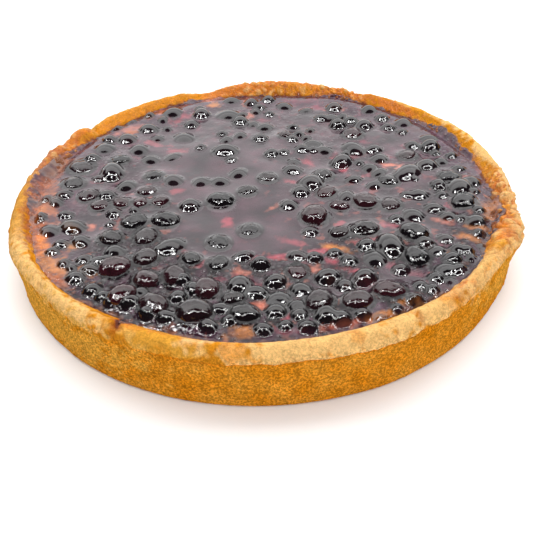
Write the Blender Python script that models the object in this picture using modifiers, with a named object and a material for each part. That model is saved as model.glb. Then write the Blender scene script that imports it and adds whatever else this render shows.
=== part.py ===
"""Blueberry tart: a baked pastry case, the set filling in it and the berries that stand out of the filling."""

import math

import bmesh
import bpy
from mathutils import Matrix, Vector, noise

MM = 0.001

# Pastry case, sizes in millimetres
RIM_RADIUS = 130.0      # widest point, on the folded lip
WALL_RADIUS = 128.6     # outer wall just under the lip
BASE_RADIUS = 128.2
BASE_EDGE = 1.8         # rounding where the wall meets the base
LIP_HEIGHT = 26.4
LIP_DEPTH = 3.6         # how far above and below its widest point the lip reaches
LIP_TOP = (0.3, 2.2)    # in and up from the wall's widest point
CREST_RADIUS = 125.0
CREST_HEIGHT = 32.0
CREST_INNER_EDGE = (2.2, 0.6)   # in and down from the crest
CREST_OUTER_EDGE = (1.9, 1.1)   # out and down from the crest
SHORE_RADIUS = 118.3    # where the filling meets the rim
SHORE_HEIGHT = 27.2
SHORE_KNEE = (2.0, 2.1) # out and up from the shore, where the rim's slope gets flatter
NECK = (1.0, 5.0)       # in and down from the shore, where the bowl's wall starts to flare
BOWL_RADIUS = 116.0
BOWL_CORNER = 3.0       # bevel between the bowl's wall and its floor
FLOOR_THICKNESS = 5.0
WALL_RINGS = (2.8, 6.0, 14.0)   # below the lip, rings of points that carry the wall's relief
TURN_STEPS = 90

# The baked crust's crags
CRAG_DEPTH = 0.7
CRAGS_PER_METRE = 110
PLAIN_LIP_DEPTH = 1.0   # above and below the lip's widest ring there are none

# Unevenness round the rim: direction in degrees, half width in degrees, size in millimetres
RIM_RISES = (
    (84, 24, 1.9), (106, 9, -2.6), (143, 5, -1.6), (149, 4, 1.4), (155, 4, -1.4), (161, 5, 1.2),
    (59, 5, -1.0), (22, 12, 0.8), (222, 26, -1.0), (336, 8, 1.0), (350, 9, -1.2),
)
RIM_BULGES = ((203, 12, 1.3), (336, 9, 3.6), (292, 11, 1.2), (150, 14, 1.0), (320, 12, -0.6), (222, 10, -0.6))
LIP_FADES = ((226, 34, 1.0), (146, 16, 0.7), (318, 14, 0.5), (42, 18, 0.6))
SHORE_SHIFTS = (
    (216, 24, 3.0), (262, 14, 1.3), (313, 22, 2.4), (60, 18, 1.2), (120, 16, 1.4), (20, 16, -1.1),
    (165, 16, -1.0),
)
OUTER_BAND = (122.0, 126.6)     # radii between which bulges and lip set in
RISING_BAND = (27.2, 31.5)      # heights between which the rises set in
BULGE_AT_BASE = 0.35            # share of a bulge that the foot of the wall has
BULGE_START = 12.0              # height from which a bulge grows to its full size
SHORE_LIFT = 0.3                # rise of the shore for each millimetre that it moves outwards

# Cracks across the rim: direction in degrees, width and depth in millimetres
RIM_CRACKS = ((240.5, 4.2, 3.4), (299.0, 2.6, 2.0), (144.5, 3.6, 2.6), (342.0, 3.0, 2.2))
CRACK_LENGTH = 15.0
CRACK_TAPER = 0.5       # width at the inner end over the width at the outer end

# Filling
FILLING_GAP = 0.35
FILLING_LEVEL = 27.4
FILLING_EDGE_RISE = 0.1 # above the shore
FILLING_RINGS = (111.0, 97.0, 78.0, 56.0, 30.0)
FILLING_PUFF = 0.9      # how far the baked edge stands above the middle
FILLING_PUFF_RADIUS = 112.0
FILLING_PUFF_WIDTH = 14.0
# Swells of the surface: wavelength, direction in degrees, phase in degrees, height
FILLING_SWELLS = ((74.0, 20, 40, 0.30), (52.0, 95, 130, 0.24), (41.0, 150, 10, 0.20), (33.0, 60, 250, 0.14))

# Berries that stand out: x, y, width, and how far they stand out of the filling
BERRY_SQUASH = 0.9
BERRY_UNEVENNESS = 0.05
BERRY_LUMPS = 1.2       # lumps across a berry
BERRY_VARIETY = 7.3     # step from one berry's lumps to the next one's
PIECE_TURN = 2.4        # turn in radians from one piece to the next
SOCKET_GAP = 0.35       # between a berry and the socket that it sits in
SOCKET_SIDES = 12
SOCKET_TAPER = 0.9      # width at the bottom of a socket over the width at its top
FRONT_LEFT_BERRIES = (
    (-30, -101, 15.0, 6.6), (-48, -95, 13.0, 6.0), (-26, -85, 12.4, 6.0), (-62, -88, 12.4, 6.0),
    (-68, -67, 13.3, 6.5), (-53, -77, 11.6, 5.0), (-40.5, -75, 11.4, 5.0), (-55, -61, 12.3, 5.0),
    (-14.5, -92, 9.8, 4.0), (-9.5, -102.5, 11.8, 5.0), (-34, -63, 9.7, 4.0), (-21.5, -66, 10.3, 4.0),
)
LEFT_BERRIES = (
    (-64, -30, 12.4, 5.0), (-49, -29, 13.0, 5.0), (-74, -43, 12.0, 4.5), (-57, -43, 12.6, 5.0),
    (-91, -3, 11.5, 4.0), (-84, -13, 9.8, 3.5), (-73, -12, 9.6, 3.5), (-63, -13, 8.6, 3.5),
    (-53, -12, 9.0, 3.5), (-61, -1.5, 9.4, 3.5), (-101, 28, 15.2, 4.0), (-102, 11, 12.6, 4.0),
    (-59, 16, 10.6, 3.0), (-80, 34, 10.4, 3.0),
)
MIDDLE_BERRIES = (
    (-22, -12, 13.4, 4.5), (-22, -49, 12.0, 3.5), (-7, -39, 11.6, 3.0), (-8, -4, 9.8, 3.0),
    (3, 9, 10.8, 3.0), (15, 58, 8.7, 3.2),
)
RIGHT_BERRIES = (
    (25, -31, 14.0, 6.0), (33, -9, 10.8, 3.5), (38.5, -21.5, 9.0, 4.0), (52, -18, 12.4, 4.5),
    (64.5, -22, 11.0, 3.5), (36, -46, 9.2, 4.0), (48, -44, 13.6, 5.0), (71, -48, 13.6, 5.5),
    (69, -66, 12.6, 5.0), (101, -23, 13.0, 5.0), (99.5, 1.5, 11.0, 3.5), (67, 1, 10.8, 3.5),
    (33, 9.5, 11.2, 4.0),
)
FRONT_RIGHT_BERRIES = ((22, -96, 13.0, 5.5), (38, -97, 12.8, 5.0), (52.5, -91, 12.8, 5.0), (14, -74, 10.2, 3.2))
BACK_BERRIES = ((55, 56, 12.4, 4.0), (82, 28, 10.8, 3.2))
BERRIES = (
    FRONT_LEFT_BERRIES + LEFT_BERRIES + MIDDLE_BERRIES + RIGHT_BERRIES + FRONT_RIGHT_BERRIES + BACK_BERRIES
)

# Berries that the filling covers, as low mounds of it: x, y, width, height
MOUND_BURIED = 0.5      # how much of the height lies under the surface
MOUND_SIDES = 9
MOUND_RINGS = 4
SUNKEN_BERRIES = (
    (13, -19, 8.5, 2.4), (80, -14, 9.0, 2.4), (110, -4.5, 8.4, 2.2), (17, 17, 9.4, 2.6), (15, -86.5, 8.8, 2.6),
    (5, -92, 9.6, 2.4), (44, 79, 9.6, 2.2), (66, 26, 8.9, 2.2), (87, 68, 9.4, 2.2), (69, 88, 9.0, 2.2),
    (3, 71, 8.7, 2.2), (-12, 60, 6.8, 1.8), (-20, 89, 12.0, 2.4), (16, 99, 8.6, 2.2), (36, 39, 7.8, 1.8),
    (-55, 94, 10.6, 2.4), (-46, 62, 10.6, 2.2), (-91, 50, 10.4, 2.2), (-71, 47, 9.8, 2.4), (-63, 35, 8.3, 2.0),
    (-73, 7, 9.6, 2.4), (-48, 11, 9.8, 2.4), (-33, 9, 8.8, 2.2), (-23, 8.5, 8.8, 2.2), (-13, 16, 8.8, 2.2),
    (80, -78, 9.6, 2.4), (50, -67, 10.0, 2.2), (-85, -73, 8.2, 2.2), (-105, -34, 8.6, 1.8), (74, -32, 9.6, 2.4),
    (102, -41, 9.0, 2.0), (-18, 109, 8.6, 1.8), (98, 46, 8.4, 1.8),
)

CRUST_COLOUR = (214, 152, 68)
FILLING_COLOUR = (72, 40, 58)
BERRY_COLOUR = (30, 16, 26)
SHARP_EDGE = 50         # degrees, from which an edge is shaded sharp
MERGE_DISTANCE = 0.00001


def hump(value, centre, half_width):
    """1 at the centre, falling smoothly to 0 at half_width from it."""
    offset = abs(value - centre) / half_width
    return 0.5 + 0.5 * math.cos(math.pi * offset) if offset < 1 else 0.0


def smooth_step(value, low, high):
    share = min(max((value - low) / (high - low), 0.0), 1.0)
    return share * share * (3 - 2 * share)


def round_the_rim(angle, features):
    """The sum of a table's features in one direction."""
    return sum(size * hump((angle - centre + 180) % 360 - 180, 0, width) for centre, width, size in features)


def wall_radius(height):
    """Radius of the wall below the lip."""
    return BASE_RADIUS + (WALL_RADIUS - BASE_RADIUS) * smooth_step(height, BASE_EDGE, LIP_HEIGHT)


def case_profile():
    """Half of the case's section as (radius, height), from the middle of its floor over the rim to its base."""
    rings = [LIP_HEIGHT - drop for drop in WALL_RINGS]
    return (
        (0, FLOOR_THICKNESS),
        (BOWL_RADIUS - BOWL_CORNER, FLOOR_THICKNESS),
        (BOWL_RADIUS, FLOOR_THICKNESS + BOWL_CORNER),
        (SHORE_RADIUS - NECK[0], SHORE_HEIGHT - NECK[1]),
        (SHORE_RADIUS, SHORE_HEIGHT),
        (SHORE_RADIUS + SHORE_KNEE[0], SHORE_HEIGHT + SHORE_KNEE[1]),
        (CREST_RADIUS - CREST_INNER_EDGE[0], CREST_HEIGHT - CREST_INNER_EDGE[1]),
        (CREST_RADIUS, CREST_HEIGHT),
        (CREST_RADIUS + CREST_OUTER_EDGE[0], CREST_HEIGHT - CREST_OUTER_EDGE[1]),
        (WALL_RADIUS - LIP_TOP[0], LIP_HEIGHT + LIP_TOP[1]),
        (WALL_RADIUS, LIP_HEIGHT),
        *((wall_radius(height), height) for height in rings),
        (BASE_RADIUS, BASE_EDGE),
        (BASE_RADIUS - BASE_EDGE, 0),
        (0, 0),
    )


def case_shift(angle, radius, height):
    """How far the uneven rim moves a point of the turned case, outwards and upwards."""
    shore = 0.0
    if radius < CREST_RADIUS and height > LIP_HEIGHT:
        slope = (CREST_RADIUS - radius) / (CREST_RADIUS - SHORE_RADIUS)
        shore = slope * round_the_rim(angle, SHORE_SHIFTS)
    lip = max(0.0, 1 - round_the_rim(angle, LIP_FADES)) * hump(height, LIP_HEIGHT, LIP_DEPTH)
    bulge = BULGE_AT_BASE + (1 - BULGE_AT_BASE) * smooth_step(height, BULGE_START, LIP_HEIGHT)
    outer = lip * (RIM_RADIUS - WALL_RADIUS) + bulge * round_the_rim(angle, RIM_BULGES)
    outwards = shore + outer * smooth_step(radius, *OUTER_BAND)
    upwards = SHORE_LIFT * shore + round_the_rim(angle, RIM_RISES) * smooth_step(height, *RISING_BAND)
    return outwards, upwards


def crags(point, height):
    """Small uneven dents of the baked crust, none at the lip's widest ring or on the base."""
    if height < BASE_EDGE / 2:
        return 0.0
    depth = CRAG_DEPTH * (1 - hump(height, LIP_HEIGHT, PLAIN_LIP_DEPTH))
    return -abs(noise.noise(point * CRAGS_PER_METRE)) * depth


def surface_height(x, y):
    """Height of the filling's surface, in millimetres."""
    height = FILLING_LEVEL
    for length, direction, phase, swell in FILLING_SWELLS:
        along = x * math.cos(math.radians(direction)) + y * math.sin(math.radians(direction))
        height += swell * math.sin(2 * math.pi * along / length + math.radians(phase))
    return height + FILLING_PUFF * hump(math.hypot(x, y), FILLING_PUFF_RADIUS, FILLING_PUFF_WIDTH)


def filling_profile():
    """Half of the filling's section, from the middle of its top to the middle of its underside."""
    wall = BOWL_RADIUS - FILLING_GAP
    floor = FLOOR_THICKNESS + FILLING_GAP
    bevel = BOWL_CORNER - (2 - math.sqrt(2)) * FILLING_GAP
    top = [(0, FILLING_LEVEL)] + [(radius, FILLING_LEVEL) for radius in reversed(FILLING_RINGS)]
    return (
        *top,
        (SHORE_RADIUS - FILLING_GAP, SHORE_HEIGHT + FILLING_EDGE_RISE),
        (SHORE_RADIUS - NECK[0] - FILLING_GAP, SHORE_HEIGHT - NECK[1]),
        (wall, floor + bevel),
        (wall - bevel, floor),
        (0, floor),
    )


def apply_modifiers(part):
    """Replace the object's mesh by the one that its modifiers make."""
    bpy.context.view_layer.update()
    depsgraph = bpy.context.evaluated_depsgraph_get()
    mesh = bpy.data.meshes.new_from_object(part.evaluated_get(depsgraph))
    part.modifiers.clear()
    part.data = mesh
    mesh.name = part.name


def turned(name, profile, collection):
    """A solid turned round Z from a profile in millimetres."""
    mesh = bpy.data.meshes.new(name)
    points = [(radius * MM, 0, height * MM) for radius, height in profile]
    mesh.from_pydata(points, [(i, i + 1) for i in range(len(points) - 1)], [])
    part = bpy.data.objects.new(name, mesh)
    collection.objects.link(part)
    turn = part.modifiers.new("Turn", "SCREW")
    turn.steps = turn.render_steps = TURN_STEPS
    turn.use_merge_vertices = True
    turn.merge_threshold = MERGE_DISTANCE
    apply_modifiers(part)
    return part


def combine(part, tools, operation):
    """Join the tools to the part or cut them out of it, then remove them."""
    group = bpy.data.collections.new("tools")
    bpy.context.scene.collection.children.link(group)
    for tool in tools:
        group.objects.link(tool)
        tool.hide_render = True
        tool.display_type = "WIRE"
    boolean = part.modifiers.new("Combine", "BOOLEAN")
    boolean.operation = operation
    boolean.operand_type = "COLLECTION"
    boolean.collection = group
    apply_modifiers(part)
    for tool in tools:
        bpy.data.objects.remove(tool)
    bpy.data.collections.remove(group)


def object_of(name, shape):
    """An object with the bmesh's faces, in no collection yet."""
    mesh = bpy.data.meshes.new(name)
    shape.to_mesh(mesh)
    shape.free()
    return bpy.data.objects.new(name, mesh)


def crack_cutter(number, angle, width, depth):
    """A tapered rod that lies across the rim and cuts a crack from above."""
    outer = width / 2 * MM
    shape = bmesh.new()
    bmesh.ops.create_cone(
        shape, cap_ends=True, segments=6, radius1=outer, radius2=outer * CRACK_TAPER, depth=CRACK_LENGTH * MM
    )
    height = CREST_HEIGHT + round_the_rim(angle, RIM_RISES)
    stretch = Matrix.Scale(2 * depth / width, 4, Vector((0, 0, 1)))
    lay = Matrix.Rotation(math.radians(angle), 4, "Z") @ Matrix.Translation((CREST_RADIUS * MM, 0, height * MM))
    bmesh.ops.transform(shape, matrix=lay @ stretch @ Matrix.Rotation(math.pi / 2, 4, "Y"), verts=shape.verts)
    return object_of(f"crack_cutter_{number}", shape)


def berry(number, x, y, width, proud):
    """One berry, a little flattened and uneven."""
    shape = bmesh.new()
    bmesh.ops.create_icosphere(shape, subdivisions=2, radius=1.0)
    turn = Matrix.Rotation(PIECE_TURN * number, 3, "Z")
    own_lumps = Vector((number * BERRY_VARIETY, 0, 0))
    half = Vector((width / 2, width / 2, width / 2 * BERRY_SQUASH))
    for vertex in shape.verts:
        direction = turn @ vertex.co.normalized()
        uneven = 1 + BERRY_UNEVENNESS * noise.noise(direction * BERRY_LUMPS + own_lumps)
        vertex.co = direction * half * uneven * MM
    part = object_of(f"berry_{number + 1:02d}", shape)
    part.location = (x * MM, y * MM, (surface_height(x, y) + proud - half.z) * MM)
    return part


def socket(number, x, y, width, proud):
    """A tapered hole in the filling, with the gap all round the berry that sits in it."""
    flat_side = math.cos(math.pi / SOCKET_SIDES)
    largest = 1 + BERRY_UNEVENNESS / 2
    radius = (width / 2 * largest + SOCKET_GAP) / flat_side * MM
    top = surface_height(x, y) + proud
    bottom = top - width * BERRY_SQUASH * largest - SOCKET_GAP
    shape = bmesh.new()
    bmesh.ops.create_cone(
        shape, cap_ends=True, segments=SOCKET_SIDES, radius1=radius * SOCKET_TAPER, radius2=radius,
        depth=(top - bottom) * MM,
    )
    part = object_of(f"socket_{number}", shape)
    part.location = (x * MM, y * MM, (top + bottom) / 2 * MM)
    return part


def mound(number, x, y, width, height):
    """A sunken berry, as an ellipsoid that is as wide as stated where the filling's surface cuts it."""
    shape = bmesh.new()
    bmesh.ops.create_uvsphere(shape, u_segments=MOUND_SIDES, v_segments=MOUND_RINGS, radius=1.0)
    up = height * (1 + MOUND_BURIED)
    out = width / 2 / math.sqrt(1 - (MOUND_BURIED / (1 + MOUND_BURIED)) ** 2)
    bmesh.ops.scale(shape, vec=Vector((out, out, up)) * MM, verts=shape.verts)
    bmesh.ops.rotate(shape, matrix=Matrix.Rotation(PIECE_TURN * number, 3, "Z"), verts=shape.verts)
    part = object_of(f"mound_{number}", shape)
    part.location = (x * MM, y * MM, (surface_height(x, y) - MOUND_BURIED * height) * MM)
    return part


def build_crust(collection):
    crust = turned("crust", case_profile(), collection)
    for vertex in crust.data.vertices:
        x, y, z = vertex.co / MM
        radius = math.hypot(x, y)
        in_the_bowl = z < LIP_HEIGHT and radius < SHORE_RADIUS
        if in_the_bowl:
            continue
        outwards, upwards = case_shift(math.degrees(math.atan2(y, x)), radius, z)
        rough = crags(vertex.co, z)
        stretch = 1 + (outwards + rough * smooth_step(radius, SHORE_RADIUS, WALL_RADIUS)) / radius
        sink = rough * smooth_step(z, SHORE_HEIGHT, CREST_HEIGHT)
        vertex.co = Vector((x * stretch, y * stretch, z + upwards + sink)) * MM
    combine(crust, [crack_cutter(i, *crack) for i, crack in enumerate(RIM_CRACKS)], "DIFFERENCE")
    return crust


def build_filling(collection):
    filling = turned("filling", filling_profile(), collection)
    for vertex in filling.data.vertices:
        x, y, z = vertex.co / MM
        radius = math.hypot(x, y)
        if z < SHORE_HEIGHT:
            continue
        if radius <= max(FILLING_RINGS) + 1:
            vertex.co.z = surface_height(x, y) * MM
            continue
        shore = round_the_rim(math.degrees(math.atan2(y, x)), SHORE_SHIFTS)
        stretch = 1 + shore / radius
        vertex.co = Vector((x * stretch, y * stretch, z + SHORE_LIFT * shore)) * MM
    combine(filling, [mound(i, *size) for i, size in enumerate(SUNKEN_BERRIES)], "UNION")
    combine(filling, [socket(i, *size) for i, size in enumerate(BERRIES)], "DIFFERENCE")
    return filling


def build_berries(collection):
    berries = [berry(i, *size) for i, size in enumerate(BERRIES)]
    for part in berries:
        collection.objects.link(part)
    return berries


def linear(level):
    """A colour level of 0 to 255 as the linear value that a shader takes."""
    share = level / 255
    return share / 12.92 if share <= 0.04045 else ((share + 0.055) / 1.055) ** 2.4


def finish(name, colour, roughness, coat):
    material = bpy.data.materials.new(name)
    material.use_nodes = True
    shader = material.node_tree.nodes["Principled BSDF"]
    shader.inputs["Base Color"].default_value = (*(linear(level) for level in colour), 1)
    shader.inputs["Roughness"].default_value = roughness
    shader.inputs["Metallic"].default_value = 0.0
    shader.inputs["Coat Weight"].default_value = coat
    return material


def dress(parts, material):
    for part in parts:
        part.data.materials.clear()
        part.data.materials.append(material)
        part.data.shade_smooth()
        part.data.set_sharp_from_angle(angle=math.radians(SHARP_EDGE))


def main():
    for old in list(bpy.data.objects):
        bpy.data.objects.remove(old)
    tart = bpy.data.collections.new("blueberry_tart")
    bpy.context.scene.collection.children.link(tart)
    dress([build_crust(tart)], finish("baked_crust", CRUST_COLOUR, roughness=0.75, coat=0.0))
    dress([build_filling(tart)], finish("glazed_filling", FILLING_COLOUR, roughness=0.2, coat=0.6))
    dress(build_berries(tart), finish("glazed_berry", BERRY_COLOUR, roughness=0.12, coat=0.8))


main()
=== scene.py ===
"""Looks of a blueberry tart: a golden pastry case, a glossy filling and glazed berries."""

import math

import bpy
import numpy as np
from bpy.props import FloatProperty, FloatVectorProperty, PointerProperty
from mathutils import Matrix, Vector, noise


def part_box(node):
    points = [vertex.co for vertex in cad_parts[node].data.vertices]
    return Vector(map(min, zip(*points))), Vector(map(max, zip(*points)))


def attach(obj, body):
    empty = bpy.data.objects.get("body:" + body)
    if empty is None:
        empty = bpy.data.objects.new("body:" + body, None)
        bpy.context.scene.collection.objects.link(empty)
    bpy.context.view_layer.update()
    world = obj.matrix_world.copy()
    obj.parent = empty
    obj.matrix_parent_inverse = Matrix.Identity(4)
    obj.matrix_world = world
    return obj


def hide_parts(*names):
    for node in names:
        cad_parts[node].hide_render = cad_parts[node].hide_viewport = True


bl_info = {
    "name": "Blueberry Tart",
    "version": (1, 0, 0),
    "blender": (4, 5, 0),
    "location": "View3D > Sidebar > Tart",
    "description": "Pastry case, glazed blueberry filling, berries and a small studio",
    "category": "Object",
}

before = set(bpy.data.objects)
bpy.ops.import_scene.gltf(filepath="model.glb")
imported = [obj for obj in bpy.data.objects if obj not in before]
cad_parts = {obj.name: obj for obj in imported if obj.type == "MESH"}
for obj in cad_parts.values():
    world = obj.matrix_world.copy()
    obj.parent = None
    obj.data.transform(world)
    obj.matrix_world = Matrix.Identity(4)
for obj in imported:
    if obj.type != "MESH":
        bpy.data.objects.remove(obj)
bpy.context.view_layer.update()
BERRY_NODES = sorted(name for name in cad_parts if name.startswith("berry_"))
MM = 0.001

# Pastry case, sizes in millimetres
WALL_RADIUS = 128.6
BASE_RADIUS = 128.2
BASE_EDGE = 1.8
LIP_HEIGHT = 26.4
LIP_DEPTH = 3.6
LIP_TOP = (0.3, 2.2)
CREST_RADIUS = 125.0
CREST_HEIGHT = 32.0
CREST_INNER_EDGE = (2.2, 0.6)
CREST_OUTER_EDGE = (1.9, 1.1)
SHORE_RADIUS = 118.3
SHORE_HEIGHT = 27.2
SHORE_KNEE = (2.0, 2.1)
NECK = (1.0, 5.0)
BOWL_RADIUS = 116.0
BOWL_CORNER = 3.0
FLOOR_THICKNESS = 5.0
OUTER_BAND = (122.0, 126.6)
RISING_BAND = (27.2, 31.5)
BULGE_AT_BASE = 0.35
BULGE_START = 12.0
SHORE_LIFT = 0.3
CRUST_STEPS = 1080
SECTION_STEP = 0.7
FOLD_STEP = 0.35        # closer rows where the lip folds over
FOLD_OUT = 1.1          # the lip stands out this far over the wall
FOLD_DROP = 0.5         # height over which it turns back in
HIDDEN_ALONG = (-30, -27)   # place along the section of the bowl's two hidden rows
CRACK_MIDDLE = 9        # middle of the rim's cracks along the section, and their half length

# Unevenness round the rim: direction in degrees, half width in degrees, size in millimetres
RIM_RISES = (
    (84, 24, 1.9), (106, 9, -2.6), (143, 5, -1.6), (149, 4, 1.4), (155, 4, -1.4), (161, 5, 1.2),
    (59, 5, -1.0), (22, 12, 0.8), (222, 26, -1.0), (336, 8, 1.0), (350, 9, -1.2),
)
RIM_BULGES = ((203, 12, 1.3), (336, 9, 3.6), (292, 11, 1.2), (150, 14, 1.0), (320, 12, -0.6), (222, 10, -0.6))
LIP_FADES = ((226, 34, 1.0), (146, 16, 0.7), (318, 14, 0.5), (42, 18, 0.6))
SHORE_SHIFTS = (
    (216, 24, 3.0), (262, 14, 1.3), (313, 22, 2.4), (60, 18, 1.2), (120, 16, 1.4), (20, 16, -1.1),
    (165, 16, -1.0),
)
RIM_RUGGED = ((345, 24, 2.6), (64, 14, 1.4), (88, 26, 0.8), (160, 26, 0.8), (312, 8, 0.8))
RIM_CRACKS = ((240.5, 4.2, 3.4), (299.0, 2.6, 2.0), (144.5, 3.6, 2.6), (342.0, 3.0, 2.2))

# Filling
FILLING_LEVEL = 27.4
FILLING_PUFF = 0.9
FILLING_PUFF_RADIUS = 112.0
FILLING_PUFF_WIDTH = 14.0
FILLING_SWELLS = ((74.0, 20, 40, 0.30), (52.0, 95, 130, 0.24), (41.0, 150, 10, 0.20), (33.0, 60, 250, 0.14))
FILLING_STEPS = 304
FILLING_OVERLAP = 0.3
FILLING_GAP = 0.35      # between the filling and the case's bowl
FILLING_BEVEL = 2.8     # bevel of the filling's lower edge
EDGE_TUCK = 1.2         # how far the glaze's outermost edge dips under the case's slope
UNDER_EDGE = (0.3, 1.6)     # in from that edge and down from the slope, the ring below it
UNDER_SHORE = (1.0, 2.0)    # in and down from the shore, the ring after that
GLAZE_FILM = 0.2        # the glaze ends this far under the skin of a berry that stands out
GLAZE_CLIMB = 0.2       # share of a berry's free height that the glaze climbs
FILM_ON_RIM = 0.35      # thickness of the glaze where it creeps up the case's slope
GLAZE_CREEPS = (
    (172, 32, 6.4), (344, 18, 4.6), (64, 12, 2.4), (205, 12, 1.0), (24, 26, 3.6), (110, 26, 1.2),
    (320, 12, 3.0), (240.5, 2.5, 4.0), (270, 34, 1.0),
)

# Berries that the filling covers: x, y, width, height
SUNKEN_BERRIES = (
    (13, -19, 8.5, 2.4), (80, -14, 9.0, 2.4), (110, -4.5, 8.4, 2.2), (17, 17, 9.4, 2.6),
    (15, -86.5, 8.8, 2.6), (5, -92, 9.6, 2.4), (44, 79, 9.6, 2.2), (66, 26, 8.9, 2.2), (87, 68, 9.4, 2.2),
    (69, 88, 9.0, 2.2), (3, 71, 8.7, 2.2), (-12, 60, 6.8, 1.8), (-20, 89, 12.0, 2.4), (16, 99, 8.6, 2.2),
    (36, 39, 7.8, 1.8), (-55, 94, 10.6, 2.4), (-46, 62, 10.6, 2.2), (-91, 50, 10.4, 2.2),
    (-71, 47, 9.8, 2.4), (-63, 35, 8.3, 2.0), (-73, 7, 9.6, 2.4), (-48, 11, 9.8, 2.4), (-33, 9, 8.8, 2.2),
    (-23, 8.5, 8.8, 2.2), (-13, 16, 8.8, 2.2), (80, -78, 9.6, 2.4), (50, -67, 10.0, 2.2),
    (-85, -73, 8.2, 2.2), (-105, -34, 8.6, 1.8), (74, -32, 9.6, 2.4), (102, -41, 9.0, 2.0),
    (-18, 109, 8.6, 1.8), (98, 46, 8.4, 1.8),
)
# Lumps in the glaze
BUMP_STEEPNESS = 0.34   # height of a bump over its width
BUMP_STRETCH = 1.1      # length of a bump over its width
SUNKEN_STRETCH = 1.12   # the same for a berry that the filling covers
LUMP_REACH = 0.58       # half width of a lump's foot over its width
LUMP_FILLET = 1.8       # height over which the glaze rounds into a lump
LUMP_TURN = 9           # degrees that a lump's long side turns for each millimetre of x
LUMP_SEED = 7
LUMP_TRIES = 1500       # places tried for the scattered lumps
LUMP_WIDTHS = (6.5, 14.0)
LUMP_STEEPNESS = (0.26, 0.4)  # height over width, where the glaze is still and where it is crowded
LUMPS_WITHIN = 109.0    # radius that they stay inside
LUMP_SPACING = 0.43     # least distance between two lumps over the sum of their widths
# Berries that stand out
GLAZE_ON_BERRY = (1.16, 1.16, 1.0)  # its coat of glaze widens a berry by these shares
BERRY_STEPS = 40
BERRY_RINGS = 24
BERRY_TURN = 2.4        # radians from one berry's long side to the next one's
BERRY_FILLET = 1.5      # height over which the glaze rounds into its film on a berry
BERRY_STRETCH = 0.09    # how much longer or shorter than round a berry is
BERRY_FULLNESS = 2.15   # 2 is an ellipsoid, more is boxier
# Bumps that have a place of their own: x, y, width
BUMPS = (
    (-118, 22, 8), (-117, 33, 7), (-96, 37, 8), (-113, -23, 8), (-100, -20, 7), (-97, -46, 7),
    (-76, -30, 5), (-118, -8, 6), (-113, -5, 6), (-89, 76, 8), (-81, 85, 7), (-70, 92, 7), (-47, 113, 9),
    (-38, 98, 6), (-90, 60, 8), (6, 108, 8), (0, 97, 7), (-12, 79, 9), (-23, 63, 6), (-35, 47, 6),
    (0, 55, 8), (27, 53, 6), (6, 36, 8), (13, 37, 6), (30, 39, 6), (-17, 31, 6), (20, 70, 6), (30, 64, 5),
    (56, 75, 8), (38, 79, 8), (52, 80, 7), (75, 75, 8), (77, 62, 8), (84, 56, 6), (98, 29, 5), (106, 25, 6),
    (54, 22, 5), (48, 33, 5), (81, 1, 4), (92, -6, 8), (92, -15, 6), (74, -14, 6), (65, -35, 7),
    (101, -52, 6), (96, -38, 6), (22, -44, 7), (92, -65, 7), (38, -68, 7), (4, -80, 9), (34, -86, 8),
    (24, -106, 9), (13, -104, 7), (-76, -82, 8), (-71, -87, 6), (-32, -85, 8), (-37, -78, 7), (84, -70, 8),
    (86, -78, 7), (-33, -98, 8), (-65, -20, 5), (71, -91, 6), (62, -98, 7), (54, -103, 5), (80, -86, 5),
    (94, -71, 6), (101, -62, 6), (46, -109, 6), (88, -63, 7), (74, -83, 7), (66, -88, 6), (104, -20, 7),
    (109, -14, 5), (106, -32, 6), (-58, -93, 8), (-50, -100, 7), (-42, -103, 7), (-24, -110, 7),
    (-16, -107, 6), (-2, -112, 7), (7, -110, 6), (16, -112, 7), (30, -108, 8), (39, -106, 6), (-67, -92, 5),
    (-84, -73, 6), (-92, -62, 6), (-100, -52, 6), (-88, -66, 5), (-46, -94, 7), (-20, -99, 7), (12, -98, 7),
    (-54, -86, 6),
)


def linear(level):
    """A colour level of 0 to 255 as the linear value that a shader takes."""
    share = level / 255
    return share / 12.92 if share <= 0.04045 else ((share + 0.055) / 1.055) ** 2.4


def shade(red, green, blue):
    return (linear(red), linear(green), linear(blue))


# Tints by name, for the tables below
TINTS = {
    "gold": shade(195, 117, 9),
    "cream": shade(226, 180, 114),
    "straw": shade(212, 156, 62),
    "orange": shade(212, 130, 8),
    "amber": shade(202, 110, 20),
    "rust": shade(162, 82, 32),
    "blush": shade(154, 104, 78),
    "plum": shade(66, 36, 44),
    "custard": shade(180, 108, 44),
    "peach": shade(190, 106, 84),
    "pink": shade(162, 64, 78),
    "rose": shade(120, 50, 66),
    "red": shade(74, 8, 16),
    "mauve": shade(84, 54, 66),
    "violet": shade(62, 28, 50),
    "night": shade(11, 5, 9),
}

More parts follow.
